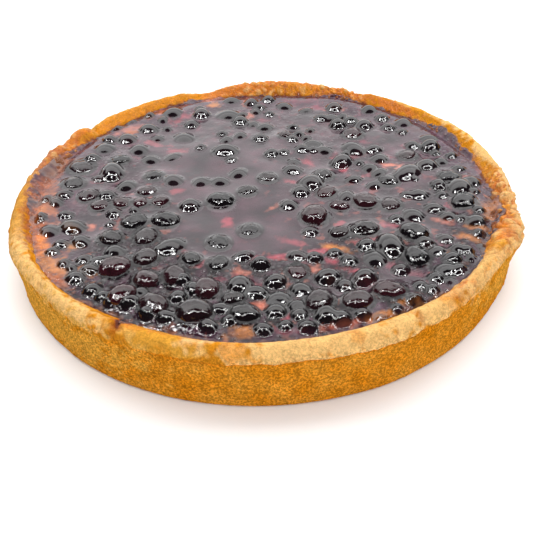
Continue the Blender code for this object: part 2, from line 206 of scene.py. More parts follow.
# Where the rim takes another tint: direction and half width in degrees, distance from the shore along the
# section and half depth in millimetres, tint, strength
RIM_TINTS = (
    (216, 30, 11, 7.5, "cream", 1.0), (216, 34, 28, 16, "straw", 0.75), (250, 14, 9, 9, "straw", 0.7),
    (246, 9, 6, 3, "orange", 0.8), (257, 4, 6, 5, "orange", 0.8), (281, 25, 9, 14, "cream", 1.0),
    (264, 3, 9, 6, "orange", 0.6), (286, 2, 9, 6, "orange", 0.45), (303, 6, 9, 13, "cream", 0.9),
    (309, 4, 8, 6, "orange", 0.8), (318, 11, 9, 12, "cream", 0.9), (322, 5, 12, 3, "orange", 0.7),
    (332, 5, 8, 5, "straw", 0.8), (345, 17, 5, 6, "orange", 0.9), (340, 8, 4, 5, "amber", 0.6),
    # The cream entry at 340 degrees, 13 mm along, is partly the rim's pale colour and partly painted light,
    # lifting that side where the rim faces away from the lights
    (352, 7, 4, 5, "rust", 0.4), (8, 34, 12, 7, "cream", 1.0), (340, 26, 13, 5, "cream", 0.9),
    (335, 22, 26, 12, "straw", 0.6), (48, 12, 5, 5, "amber", 0.9), (44, 14, 11, 4, "straw", 0.9),
    (64, 8, 6, 7, "amber", 0.8), (88, 30, 5, 9, "orange", 1.0), (90, 26, 8.6, 1.0, "rust", 0.3),
    (96, 14, 4, 6, "amber", 0.8), (131, 22, 10, 6, "straw", 1.0), (131, 22, 5, 5, "orange", 0.9),
    (158, 14, 8, 8, "amber", 0.7), (178, 24, 8, 10, "blush", 0.7), (186, 16, 11, 6, "straw", 0.6),
    (190, 14, 2, 4, "rust", 0.6), (240.5, 2.4, 4, 8, "rust", 0.8), (240.5, 1.4, 3, 7, "plum", 1.0),
)

# Patches of other tints in the glaze: x, y, half length, half width, turn in degrees, tint, strength
PATCHES = (
    (-112, -12, 24, 9, 96, "rust", 0.9), (-116, 12, 22, 7, 84, "rust", 0.7),
    (-114, 32, 12, 6, 70, "blush", 0.7), (-108, -42, 24, 6, 112, "rust", 1.0),
    (-107, -44, 10, 3, 112, "amber", 0.9), (-113, -18, 6, 3, 96, "amber", 0.8),
    (-98, -62, 14, 6, 128, "custard", 0.95), (-92, -74, 9, 4, 136, "rust", 0.8),
    (-113, 48, 12, 5, 70, "rust", 0.7), (-104, 64, 8, 5, 55, "custard", 0.6),
    (-95, -33, 7, 3, 145, "custard", 1.0), (-91, -48, 4.5, 3, 0, "custard", 1.0),
    (-85, -31, 3, 3.5, 0, "peach", 1.0), (-80, -69, 7, 5, 120, "custard", 1.0),
    (-84, -58, 5, 3, 20, "peach", 0.9), (-10, -113, 9, 4, 10, "custard", 0.9),
    (-80, 74, 12, 5, 40, "peach", 0.6), (-70, 92, 6, 4, 40, "custard", 0.9),
    (-60, 98, 12, 5, 30, "peach", 0.6), (-32, 113, 8, 7, 20, "peach", 0.8),
    (-29, 104, 5, 4, 0, "custard", 0.8), (-44, 90, 7, 4, 20, "pink", 0.5), (-52, 84, 6, 4, 30, "pink", 0.6),
    (-8, 105, 3.5, 6, 0, "peach", 0.8), (-6, 87, 3.5, 6, 0, "peach", 0.6),
    (-62, 55, 9, 4, 150, "pink", 0.6), (-48, 45, 7, 4, 170, "pink", 0.55),
    (-78, 70, 6, 2.5, 10, "rust", 0.8), (38, 95, 14, 4, 170, "rose", 0.7), (48, 91, 7, 3, 0, "peach", 0.6),
    (28, 105, 12, 5, 170, "rose", 0.5), (25, 27, 6, 3, 150, "pink", 0.75), (43, 27, 5, 3, 120, "pink", 0.9),
    (45, 16, 4, 3, 90, "pink", 0.8), (30, 62, 4, 2, 0, "red", 0.8), (15, 5, 5, 2.5, 150, "pink", 0.8),
    (58, 10, 5, 2, 20, "pink", 0.5), (72, 19, 8, 2.5, 165, "peach", 0.95),
    (78, 14, 8, 3, 165, "peach", 0.95), (53, 30, 5, 3, 0, "rose", 0.6), (44, -1, 8, 1.3, 35, "red", 0.9),
    (-45, 0, 5, 3, 30, "pink", 0.6), (-18, -32, 4, 5, 20, "pink", 0.8), (5, -20, 4, 2, 30, "peach", 0.6),
    (-44, -54, 9, 1.8, 170, "pink", 0.7), (95, -24, 6, 4, 20, "pink", 0.7),
    (33, -57, 9, 3, 155, "custard", 1.0), (25, -59, 6, 2.5, 0, "pink", 0.8),
    (62, -55, 5, 4, 150, "peach", 1.0), (38, -36, 5, 1.8, 50, "pink", 0.8),
    (82, -66, 3.2, 4, 0, "custard", 1.0), (85, -55, 6, 4, 30, "rose", 0.8),
    (102, -46, 9, 3, 150, "custard", 0.8), (112, -30, 12, 5, 70, "custard", 0.7),
    (103, -8, 4, 6, 0, "peach", 0.7), (104, 36, 20, 7, 110, "violet", 0.8),
    (112, 30, 14, 4, 108, "plum", 0.8), (92, 60, 8, 4, 130, "red", 0.5), (-4, -63, 6, 3, 160, "pink", 0.8),
    (6, -62, 6, 2.5, 10, "pink", 0.75), (16, -66, 6, 3, 160, "pink", 0.7), (0, -68, 5, 2.5, 0, "red", 0.9),
    (30, -67, 5, 3, 140, "pink", 0.7), (33, -73, 5, 2, 0, "red", 0.9), (42, -77, 7, 2.5, 150, "pink", 0.8),
    (48, -64, 6, 2.5, 20, "red", 0.8), (56, -72, 6, 3, 150, "rose", 0.8), (-8, -79, 7, 4, 150, "pink", 0.8),
    (-4, -86, 4, 3, 60, "pink", 0.8), (-20, -78, 4, 3, 0, "rose", 0.8), (-11, -72, 5, 2, 150, "peach", 0.6),
    (66, -78, 9, 3, 160, "rose", 0.8), (74, -80, 3, 2, 0, "peach", 0.9), (10, -104, 6, 3, 20, "pink", 0.75),
    (8, -113, 10, 2.5, 175, "rose", 0.8), (60, -98, 7, 3, 25, "custard", 0.8),
    (47, -106, 9, 3, 15, "custard", 0.9), (30, -111, 10, 2.5, 10, "peach", 0.7),
    (80, -86, 12, 4, 40, "mauve", 0.7), (-60, -48, 4, 2, 0, "red", 0.6), (-48, -69, 4, 2.5, 30, "red", 0.8),
    (-88, 16, 5, 3, 20, "rose", 0.7), (-96, -8, 7, 12, 20, "mauve", 0.8), (-78, 58, 8, 5, 150, "rose", 0.6),
    (85, 40, 5, 3, 20, "rose", 0.5), (12, -50, 9, 3, 150, "pink", 0.6), (50, -52, 8, 3, 20, "pink", 0.7),
    (62, -40, 7, 3, 160, "pink", 0.6), (20, -73, 7, 4, 20, "peach", 0.8), (44, -86, 7, 3, 0, "pink", 0.8),
    (-2, -95, 7, 4, 30, "peach", 0.9), (26, -96, 7, 3, 160, "peach", 0.8),
    (72, -62, 6, 3, 30, "peach", 0.7), (-30, -66, 5, 3, 0, "pink", 0.7), (8, -78, 6, 4, 80, "peach", 0.9),
    (88, -38, 7, 3, 150, "peach", 0.7), (96, -54, 8, 3, 140, "custard", 0.7), (2, 80, 5, 3, 0, "rose", 0.5),
    (60, 46, 6, 3, 160, "rose", 0.6), (-100, 52, 8, 5, 60, "mauve", 0.7),
)

# Where the glaze is crowded with small lumps and bubbles: x, y, radius, strength
CROWDED_AREAS = (
    (-96, -8, 16, 0.6), (-74, -84, 18, 1.0), (82, -76, 16, 1.0), (100, -44, 16, 0.9), (2, -78, 24, 0.9),
    (-32, -78, 18, 1.0), (-4, -102, 22, 1.0), (24, -106, 14, 1.0), (38, -66, 20, 0.9), (66, -64, 14, 0.9),
    (-60, -60, 30, 0.9), (-108, 10, 24, 0.3), (-104, -46, 18, 0.35), (100, 30, 20, 0.8), (70, -20, 28, 0.4),
    (-50, -100, 26, 0.9), (60, 84, 30, 0.6), (-66, 0, 26, 0.5), (-60, 92, 28, 0.5), (104, -2, 16, 0.9),
    (40, 50, 26, 0.5), (60, -99, 18, 1.0), (96, -62, 16, 0.9), (0, 90, 34, 0.5), (-84, 40, 22, 0.6),
    (60, 20, 26, 0.5),
)
# Where it lies still and smooth: x, y, radius
STILL_POOLS = ((-16, -30, 27), (-22, 2, 24), (4, -46, 13), (-34, 34, 16), (2, 14, 13), (-12, 40, 12))


def hump(offset, half_width):
    """1 where offset is 0, falling smoothly to 0 at half_width."""
    return 0.5 + 0.5 * np.cos(np.pi * np.clip(np.abs(offset) / half_width, 0, 1))


def smooth_step(value, low, high):
    share = np.clip((value - low) / (high - low), 0, 1)
    return share * share * (3 - 2 * share)


def turn_between(angle, centre):
    """Degrees from the centre direction to the angle, from -180 to 180."""
    return (angle - centre + 180) % 360 - 180


def round_the_rim(angle, features):
    return sum(size * hump(turn_between(angle, centre), width) for centre, width, size in features)


def lumps(points, size, offset=0.0):
    """Smooth noise from -1 to 1 at points in millimetres, with lumps of about that size."""
    return np.array([noise.noise(point) for point in (points / size + offset).tolist()])


def higher_of(first, second, reach):
    """The higher of two surfaces, rounded where they are within reach of each other."""
    near = np.maximum(reach - np.abs(first - second), 0) / reach
    return np.maximum(first, second) + near * near * reach / 4


def mixed(colours, tint, share):
    """Colours shifted towards a tint by a share for each point."""
    share = np.clip(share, 0, 1)[:, None]
    return colours * (1 - share) + np.array(TINTS[tint]) * share


def mesh_object(name, points, faces, smooth=True):
    """An object from points in millimetres and faces."""
    mesh = bpy.data.meshes.new(name)
    mesh.from_pydata((points * MM).tolist(), [], faces)
    mesh.validate()
    piece = bpy.data.objects.new(name, mesh)
    bpy.context.scene.collection.objects.link(piece)
    if smooth:
        mesh.shade_smooth()
    return piece


def turned_faces(rows, steps):
    """Faces of a turned shape: rows of points, then the two points that close its first and last rows."""
    columns = np.arange(steps)
    after = np.roll(columns, -1)
    faces = []
    for row in range(rows - 1):
        a, b = row * steps, (row + 1) * steps
        faces += np.stack([a + columns, b + columns, b + after, a + after], 1).tolist()
    first_end, last = rows * steps, (rows - 1) * steps
    faces += np.stack([np.full_like(columns, first_end), columns, after], 1).tolist()
    faces += np.stack([np.full_like(columns, first_end + 1), last + after, last + columns], 1).tolist()
    return faces


def paint(piece, name, colours):
    """Store a colour for each point of a piece, for its material to read."""
    layer = piece.data.color_attributes.new(name, "FLOAT_COLOR", "POINT")
    layer.data.foreach_set("color", np.hstack([colours, np.ones((len(colours), 1))]).ravel())


def measure(piece, name, values):
    """Store a number for each point of a piece, for its material to read."""
    layer = piece.data.attributes.new(name, "FLOAT", "POINT")
    layer.data.foreach_set("value", np.asarray(values, np.float32))


# Materials


class Nodes:
    """A material with a Principled shader, and short ways to add and join nodes in it."""

    def __init__(self, name):
        self.material = bpy.data.materials.new(name)
        self.material.use_nodes = True
        self.tree = self.material.node_tree
        self.shader = self.tree.nodes["Principled BSDF"]

    def add(self, kind, **settings):
        node = self.tree.nodes.new(kind)
        for name, value in settings.items():
            if name in node.inputs:
                node.inputs[name].default_value = value
            else:
                setattr(node, name, value)
        return node

    def join(self, source, output, target, name):
        self.tree.links.new(source.outputs[output], target.inputs[name])

    def grain(self, scale, detail=2.0, roughness=0.5):
        """Noise in the object's own space."""
        node = self.add("ShaderNodeTexNoise", Scale=scale, Detail=detail, Roughness=roughness)
        self.join(self.place(), "Object", node, "Vector")
        return node

    def place(self):
        found = [node for node in self.tree.nodes if node.type == "TEX_COORD"]
        return found[0] if found else self.add("ShaderNodeTexCoord")

    def stretch(self, source, output, low, high, to_low=0.0, to_high=1.0):
        """A value's range spread to another range."""
        node = self.add("ShaderNodeMapRange", clamp=True)
        for name, value in (("From Min", low), ("From Max", high), ("To Min", to_low), ("To Max", to_high)):
            node.inputs[name].default_value = value
        self.join(source, output, node, "Value")
        return node

    def times(self, first, output, second, second_output):
        """Two values multiplied."""
        node = self.add("ShaderNodeMath", operation="MULTIPLY")
        self.tree.links.new(first.outputs[output], node.inputs[0])
        self.tree.links.new(second.outputs[second_output], node.inputs[1])
        return node

    def colour_mix(self, blend, factor, first, second):
        """Two colours mixed; each value is a number, a colour or a (node, output) pair."""
        node = self.add("ShaderNodeMix", data_type="RGBA", blend_type=blend)
        for index, value in ((0, factor), (6, first), (7, second)):
            if isinstance(value, tuple) and isinstance(value[0], bpy.types.Node):
                self.tree.links.new(value[0].outputs[value[1]], node.inputs[index])
            elif isinstance(value, tuple):
                node.inputs[index].default_value = (*value, 1)
            else:
                node.inputs[index].default_value = value
        return node

    def bumps(self, layers):
        """Bump nodes in a row, from (node, output, strength, distance in millimetres)."""
        before = None
        for source, output, strength, distance in layers:
            node = self.add("ShaderNodeBump", Strength=strength, Distance=distance * MM)
            self.join(source, output, node, "Height")
            if before:
                self.join(before, "Normal", node, "Normal")
            before = node
        self.join(before, "Normal", self.shader, "Normal")

    def set(self, **values):
        for name, value in values.items():
            self.shader.inputs[name.replace("_", " ")].default_value = value


def crust_material(look):
    nodes = Nodes("baked_crust")
    tint = nodes.add("ShaderNodeAttribute", attribute_name="tint")
    gloss = nodes.add("ShaderNodeAttribute", attribute_name="gloss")
    sanded = nodes.add("ShaderNodeAttribute", attribute_name="sand")
    blotches = nodes.grain(240, 6, 0.65)
    sand = nodes.grain(1050, 3, 0.7)
    pores = nodes.grain(560, 2, 0.6)
    lighter = nodes.stretch(blotches, "Fac", 0.32, 0.68, 0.84, 1.16)
    toned = nodes.colour_mix("MULTIPLY", 1.0, (tint, "Color"), (lighter, "Result"))
    sandy = nodes.stretch(sand, "Fac", 0.4, 0.6, 0.6, 1.45)
    grained = nodes.colour_mix("MULTIPLY", (sanded, "Fac"), (toned, 2), (sandy, "Result"))
    pits = nodes.stretch(pores, "Fac", 0.6, 0.72, 0.0, look.pore_strength)
    pitted = nodes.times(pits, "Result", sanded, "Fac")
    spotted = nodes.colour_mix("MIX", (pitted, "Value"), (grained, 2), tuple(look.pore))
    nodes.tree.links.new(spotted.outputs[2], nodes.shader.inputs["Base Color"])
    rough = nodes.stretch(gloss, "Fac", 0.0, 1.0, look.roughness, 0.2)
    nodes.join(rough, "Result", nodes.shader, "Roughness")
    nodes.bumps(((blotches, "Fac", 0.8, 1.4), (pores, "Fac", 0.8, 0.5), (sand, "Fac", 1.0, 0.5)))
    shine = nodes.stretch(gloss, "Fac", 0.0, 1.0, 0.0, 0.4)
    nodes.join(shine, "Result", nodes.shader, "Specular IOR Level")
    nodes.set(IOR=1.35)
    return nodes.material


def filling_material(look):
    nodes = Nodes("glazed_filling")
    tint = nodes.add("ShaderNodeAttribute", attribute_name="tint")
    crowd = nodes.add("ShaderNodeAttribute", attribute_name="crowd")
    clouds = nodes.grain(120, 3)
    specks = nodes.grain(700, 3, 0.6)
    ripples = nodes.grain(260, 2)
    bubbles = nodes.add("ShaderNodeTexVoronoi", Scale=420, Randomness=1.0)
    nodes.join(nodes.place(), "Object", bubbles, "Vector")
    patchy = nodes.times(nodes.stretch(ripples, "Fac", 0.45, 0.6), "Result", crowd, "Fac")
    froth = nodes.times(nodes.stretch(bubbles, "Distance", 0.1, 0.6, 1.0, 0.0), "Result", patchy, "Value")
    # Painted shade in the reflection: less specular between the froth's bubbles, standing for their shade
    froth_gap_shade = nodes.times(nodes.stretch(bubbles, "Distance", 0.2, 0.55, 0.0, 1.0), "Result", crowd, "Fac")
    nodes.join(nodes.stretch(froth_gap_shade, "Value", 0.0, 1.0, 0.5, 0.1), "Result", nodes.shader, "Specular IOR Level")
    wrinkled = nodes.times(ripples, "Fac", crowd, "Fac")
    cloudy = nodes.stretch(clouds, "Fac", 0.3, 0.7, 0.75, 1.25)
    toned = nodes.colour_mix("MULTIPLY", 1.0, (tint, "Color"), (cloudy, "Result"))
    speckled = nodes.stretch(specks, "Fac", 0.35, 0.7, 0.7, 1.25)
    grained = nodes.colour_mix("MULTIPLY", (crowd, "Fac"), (toned, 2), (speckled, "Result"))
    nodes.tree.links.new(grained.outputs[2], nodes.shader.inputs["Base Color"])
    rough = nodes.stretch(crowd, "Fac", 0.0, 1.0, look.roughness, look.roughness * 1.3)
    nodes.join(rough, "Result", nodes.shader, "Roughness")
    nodes.bumps((
        (clouds, "Fac", 0.25, 0.5),
        (wrinkled, "Value", 0.5, 0.8),
        (froth, "Value", 0.9, 0.7),
        (specks, "Fac", 0.3, 0.15),
    ))
    nodes.set(IOR=1.5, Coat_Weight=look.coat, Coat_Roughness=0.04)
    return nodes.material


def berry_material(look):
    nodes = Nodes("glazed_berry")
    own = nodes.add("ShaderNodeAttribute", attribute_name="own")
    skin = nodes.grain(260, 3)
    wrinkles = nodes.grain(520, 2)
    redder = nodes.colour_mix("MIX", (own, "Fac"), tuple(look.skin), tuple(look.ripe))
    mottled = nodes.stretch(skin, "Fac", 0.3, 0.7, 0.55, 1.35)
    toned = nodes.colour_mix("MULTIPLY", 1.0, (redder, 2), (mottled, "Result"))
    nodes.tree.links.new(toned.outputs[2], nodes.shader.inputs["Base Color"])
    rough = nodes.stretch(skin, "Fac", 0.3, 0.7, look.roughness, look.roughness * 2)
    nodes.join(rough, "Result", nodes.shader, "Roughness")
    nodes.bumps(((skin, "Fac", 0.4, 1.0), (wrinkles, "Fac", 0.25, 0.4)))
    nodes.set(IOR=1.5, Coat_Weight=look.coat, Coat_Roughness=0.03)
    return nodes.material


def floor_material(look):
    nodes = Nodes("pale_floor")
    grain = nodes.grain(30, 2)
    paler = nodes.stretch(grain, "Fac", 0.3, 0.7, 0.0, 0.03)
    toned = nodes.colour_mix("MIX", (paler, "Result"), tuple(look.floor), (0.8, 0.8, 0.8))
    nodes.tree.links.new(toned.outputs[2], nodes.shader.inputs["Base Color"])
    nodes.set(Roughness=0.9, Specular_IOR_Level=0.1)
    return nodes.material


# Pastry case


def wall_radius(height):
    return BASE_RADIUS + (WALL_RADIUS - BASE_RADIUS) * smooth_step(height, BASE_EDGE, LIP_HEIGHT)


def visible_section():
    """The case's section from under the shore over the rim to the base, as rounded (radius, height) rows."""
    knots = [
        (SHORE_RADIUS - NECK[0], SHORE_HEIGHT - NECK[1]),
        (SHORE_RADIUS, SHORE_HEIGHT),
        (SHORE_RADIUS + SHORE_KNEE[0], SHORE_HEIGHT + SHORE_KNEE[1]),
        (CREST_RADIUS - CREST_INNER_EDGE[0], CREST_HEIGHT - CREST_INNER_EDGE[1]),
        (CREST_RADIUS, CREST_HEIGHT),
        (CREST_RADIUS + CREST_OUTER_EDGE[0], CREST_HEIGHT - CREST_OUTER_EDGE[1]),
        (WALL_RADIUS - LIP_TOP[0], LIP_HEIGHT + LIP_TOP[1]),
        (WALL_RADIUS, LIP_HEIGHT),
        *((float(wall_radius(height)), height) for height in (23.6, 20.4, 12.4, 6.0)),
        (BASE_RADIUS, BASE_EDGE),
        (BASE_RADIUS - BASE_EDGE * 0.3, BASE_EDGE * 0.3),
        (BASE_RADIUS - BASE_EDGE, 0),
    ]
    knots = [Vector(knot) for knot in knots]
    padded = [2 * knots[0] - knots[1], *knots, 2 * knots[-1] - knots[-2]]
    rows = [knots[0]]
    for before, start, end, after in zip(padded, padded[1:], padded[2:], padded[3:]):
        folded = LIP_HEIGHT - 4 < start.y < LIP_HEIGHT + 3 and start.x > CREST_RADIUS
        count = max(1, round((end - start).length / (FOLD_STEP if folded else SECTION_STEP)))
        for step in range(1, count + 1):
            t = step / count
            rows.append(
                0.5 * (
                    2 * start + (end - before) * t
                    + (2 * before - 5 * start + 4 * end - after) * t**2
                    + (3 * start - before - 3 * end + after) * t**3
                )
            )
    return np.array([tuple(row) for row in rows])


def case_shift(angle, radius, height, ragged=0.0):
    """How far the uneven rim moves points of the turned case, outwards and upwards."""
    slope = np.clip((CREST_RADIUS - radius) / (CREST_RADIUS - SHORE_RADIUS), 0, 1) * (height > LIP_HEIGHT)
    shore = slope * round_the_rim(angle, SHORE_SHIFTS)
    level = height - LIP_HEIGHT + ragged
    fold = smooth_step(level, -FOLD_DROP, 0) * smooth_step(-level, -LIP_DEPTH, 0)
    lip = np.clip(1 - round_the_rim(angle, LIP_FADES), 0, 1) * fold
    bulge = BULGE_AT_BASE + (1 - BULGE_AT_BASE) * smooth_step(height, BULGE_START, LIP_HEIGHT)
    outer = lip * FOLD_OUT + bulge * round_the_rim(angle, RIM_BULGES)
    outwards = shore + outer * smooth_step(radius, *OUTER_BAND)
    upwards = SHORE_LIFT * shore + round_the_rim(angle, RIM_RISES) * smooth_step(height, *RISING_BAND)
    return outwards, upwards


def fine_cracks(points):
    """1 along the thin winding cracks of the rim's skin, 0 between them."""
    return smooth_step(0.05 - np.abs(lumps(points, 11.0, 6.6)), 0.0, 0.05)


def crack_depth(angle, along, wobble):
    """How deep the cracks across the rim are at points of the section."""
    depth = np.zeros_like(angle)
    for centre, width, deep in RIM_CRACKS:
        half = math.degrees(width / 2 / CREST_RADIUS) * 1.3
        across = hump(turn_between(angle, centre) + wobble * 0.9, half)
        depth += deep * across * hump(along - CRACK_MIDDLE, CRACK_MIDDLE)
    return depth


def slope_height(angle, radius):
    """Height of the case's inner slope, without its crags, at a radius between the shore and the crest."""
    shore = round_the_rim(angle, SHORE_SHIFTS)
    share = np.clip((radius - SHORE_RADIUS - shore) / (CREST_RADIUS - SHORE_RADIUS - shore), 0, 1)
    row = SHORE_RADIUS + share * (CREST_RADIUS - SHORE_RADIUS)
    section = visible_section()
    inner = section[: np.argmax(section[:, 1])]
    height = np.interp(row, inner[:, 0], inner[:, 1])
    return height + case_shift(angle, row, height)[1]


def fold_edge(angle, points):
    """How far the lip's ragged lower edge is from its mean height, in millimetres."""
    around = points * np.array((1, 1, 0))
    return 1.0 * lumps(around, 16.0, 1.2) + 0.6 * lumps(around, 5.0, 8.1) + 0.35 * lumps(around, 2.2, 3.7)


def craggy(points):
    """Lumps of two sizes on the rim, from 0 in the crevices between them to about 1 on their tops."""
    return np.abs(lumps(points, 4.2, 4.4)) + 0.5 * np.abs(lumps(points, 2.1, 6.4))


def rim_colours(angle, along, points):
    """Tint and gloss of the crust at each point."""
    wide = lumps(points, 9.0, 3.1)
    small = lumps(points, 3.0, 7.7)
    over_edge = points[:, 2] - LIP_HEIGHT + fold_edge(angle, points)
    folded = np.clip(1 - 1.4 * round_the_rim(angle, LIP_FADES), 0, 1)
    on_lip = 1 - folded * (1 - smooth_step(over_edge, -0.5, 0.1) * (along < 30))
    colours = np.tile(np.array(TINTS["gold"]), (len(points), 1))
    gloss = np.zeros(len(points))
    colours = mixed(colours, "straw", 0.3 + 0.25 * wide)
    baked = np.clip(round_the_rim(angle, RIM_RUGGED), 0, 1) * smooth_step(-along, -17, -12)
    for centre, half, place, depth, tint, strength in RIM_TINTS:
        off = np.hypot(turn_between(angle, centre) / half, (along - place) / depth)
        share = smooth_step(1.15 - off + 0.4 * wide + 0.6 * small, 0.1, 0.55) * strength
        if place < 15:
            share = share * on_lip
        colours = mixed(colours, tint, share)
        if tint in ("orange", "amber", "custard"):
            gloss = np.maximum(gloss, share * 0.8)
    crags = craggy(points)
    colours = mixed(colours, "amber", 0.8 * baked * smooth_step(small + 0.5 * wide, -0.1, 0.5))
    # Painted light and shade on the rim's relief: paler on the crags' tops, darker in the crevices between
    # them
    colours = mixed(colours, "cream", 0.8 * baked * smooth_step(crags, 0.4, 0.65))
    colours = mixed(colours, "rust", 0.8 * baked * smooth_step(0.22 - crags, 0.0, 0.14))
    gloss = np.maximum(gloss, 0.7 * baked)
    # Painted shadow: an amber line just under the lip's folded edge, where it overhangs the wall
    colours = mixed(colours, "amber", 0.6 * folded * hump(over_edge + 1.1, 1.2) * (points[:, 2] > 15))
    stained = along - 0.9 * round_the_rim(angle, GLAZE_CREEPS)
    juice = smooth_step(0.9 - stained * 0.4 + 1.4 * small + 1.2 * wide, 0.0, 1.6)
    colours = mixed(colours, "rust", 0.6 * juice)
    colours = mixed(colours, "plum", 0.6 * smooth_step(0.5 - stained * 0.5 + 1.6 * small, 0.2, 1.3))
    gloss = np.maximum(gloss, juice)
    crack = np.clip(crack_depth(angle, along, wide) / 2.4, 0, 1)
    colours = mixed(colours, "rust", 0.5 * crack + 0.3 * fine_cracks(points) * smooth_step(-along, -18, -14))
    juicy_crack = crack * hump(turn_between(angle, RIM_CRACKS[0][0]), 4) * hump(along - 2, 6)
    return mixed(colours, "plum", juicy_crack), gloss


def build_crust(look):
    section = visible_section()
    length = np.concatenate([[0], np.cumsum(np.hypot(*np.diff(section, axis=0).T))])
    along_row = length - NECK[1]
    bowl_floor = (BOWL_RADIUS - BOWL_CORNER, FLOOR_THICKNESS)
    bowl_wall = (BOWL_RADIUS, FLOOR_THICKNESS + BOWL_CORNER)
    rows = np.vstack([bowl_floor, bowl_wall, section])
    along = np.repeat(np.concatenate([HIDDEN_ALONG, along_row]), CRUST_STEPS)
    step = np.gradient(rows, axis=0)
    outward = np.stack([-step[:, 1], step[:, 0]], 1) / np.hypot(*step.T)[:, None]
    angle = np.tile(np.arange(CRUST_STEPS) * 360 / CRUST_STEPS, len(rows))
    radius, height = (np.repeat(rows[:, i], CRUST_STEPS) for i in (0, 1))
    turn = np.radians(angle)
    points = np.stack([radius * np.cos(turn), radius * np.sin(turn), height], 1)
    out, up = case_shift(angle, radius, height, fold_edge(angle, points))
    shown = smooth_step(along, -3, 0) * smooth_step(height, 0.2, 2.0)
    rim = smooth_step(-along, -16, -12)
    rugged = 0.5 + round_the_rim(angle, RIM_RUGGED)
    relief = look.crag_depth * np.abs(lumps(points, 12.0)) * rim
    crags = craggy(points)
    relief += (0.45 * crags + 1.7 * (rugged - 0.5) * (crags - 0.4)) * rim
    relief += 0.5 * np.abs(lumps(points, 1.9, 2.2)) - 0.12 + 0.15 * np.abs(lumps(points, 6.0, 9.1))
    relief -= 0.35 * fine_cracks(points) * rim
    streak = np.stack([points[:, 0], points[:, 1], points[:, 2] * 3.5], 1)
    smeared = round_the_rim(angle, ((232, 34, 1.0),)) * (1 - rim)
    relief += 0.5 * smeared * np.abs(lumps(streak, 14.0, 5.5))
    relief *= np.maximum(0.4 + 0.6 * smooth_step(along, 4, 9), np.minimum(1.0, 0.5 * rugged))
    relief = (relief - 0.9 * crack_depth(angle, along, lumps(points, 6.0, 1.0))) * shown
    normal_out, normal_up = (-np.repeat(outward[:, i], CRUST_STEPS) for i in (0, 1))
    radius = radius + out - relief * normal_out
    height = height + up - relief * normal_up
    moved = np.stack([radius * np.cos(turn), radius * np.sin(turn), height], 1)
    moved = np.vstack([moved, [(0, 0, FLOOR_THICKNESS), (0, 0, 0)]])
    piece = mesh_object("pastry_case", moved, turned_faces(len(rows), CRUST_STEPS))
    colours, gloss = rim_colours(angle, along, points)
    ends = np.tile(np.array(TINTS["gold"]), (2, 1))
    paint(piece, "tint", np.vstack([colours, ends]))
    measure(piece, "gloss", np.concatenate([gloss, [0, 0]]))
    measure(piece, "sand", np.concatenate([0.35 + 0.65 * smooth_step(along, 12, 18), [1, 1]]))
    piece.data.materials.append(crust_material(look))
    return piece


# Filling


def surface_height(x, y):
    """Height of the filling's own surface, in millimetres."""
    height = FILLING_LEVEL
    for length, direction, phase, swell in FILLING_SWELLS:
        along = x * math.cos(math.radians(direction)) + y * math.sin(math.radians(direction))
        height = height + swell * np.sin(2 * math.pi * along / length + math.radians(phase))
    return height + FILLING_PUFF * hump(np.hypot(x, y) - FILLING_PUFF_RADIUS, FILLING_PUFF_WIDTH)


def berry_places():
    """Centre and half sizes of each berry that stands out, in millimetres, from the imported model."""
    for name in BERRY_NODES:
        low, high = (np.array(corner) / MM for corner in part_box(name))
        yield name, (low + high) / 2, (high - low) / 2 * np.array(GLAZE_ON_BERRY)


def round_disc(steps):
    """Points spread evenly over a disc of radius 1, as rows of a square grid that is rounded off."""
    u, v = np.meshgrid(np.linspace(-1, 1, steps), np.linspace(-1, 1, steps))
    wide = np.abs(u) > np.abs(v)
    radius = np.where(wide, u, v)
    safe_u, safe_v = np.where(u == 0, 1, u), np.where(v == 0, 1, v)
    turn = np.where(wide, math.pi / 4 * v / safe_u, math.pi / 2 - math.pi / 4 * u / safe_v)
    return (radius * np.cos(turn)).ravel(), (radius * np.sin(turn)).ravel()


def crowding(x, y):
    """How crowded the glaze is at each place: 0 in the still pools, towards 1 where lumps and bubbles are."""
    still = np.zeros_like(x)
    for px, py, radius in STILL_POOLS:
        still = np.maximum(still, smooth_step(1.5 - np.hypot(x - px, y - py) / radius, 0, 0.9))
    busy = np.full_like(x, 0.3)
    for px, py, radius, strength in CROWDED_AREAS:
        busy = np.maximum(busy, strength * smooth_step(1.4 - np.hypot(x - px, y - py) / radius, 0, 0.8))
    return busy * (1 - still)


def scattered_lumps():
    """More lumps where the glaze is crowded, clear of the berries and of each other.

    Each is x, y, width, height, length over width and turn in degrees.
    """
    chance = np.random.default_rng(LUMP_SEED)
    taken = [place[:3] for place in (*SUNKEN_BERRIES, *BUMPS)]
    taken += [(centre[0], centre[1], half[0] * 2) for _, centre, half in berry_places()]
    found = []
    for out, turn, size, luck, swell, long in chance.uniform(size=(LUMP_TRIES, 6)):
        radius = LUMPS_WITHIN * math.sqrt(out)
        x, y = radius * math.cos(2 * math.pi * turn), radius * math.sin(2 * math.pi * turn)
        width = LUMP_WIDTHS[0] + (LUMP_WIDTHS[1] - LUMP_WIDTHS[0]) * size**1.6 - y / 80
        clear = all(math.hypot(x - px, y - py) > LUMP_SPACING * (width + other) for px, py, other in taken)
        crowd = float(crowding(np.array([x]), np.array([y]))[0])
        if clear and luck < (0.5 - y / 400) * crowd:
            taken.append((x, y, width))
            steepness = LUMP_STEEPNESS[0] * (1 - crowd) + LUMP_STEEPNESS[1] * crowd
            height = width * steepness * (0.75 + 0.4 * swell)
            found.append((x, y, width, height, 1 + 0.5 * long * long, 900 * luck))
    return found


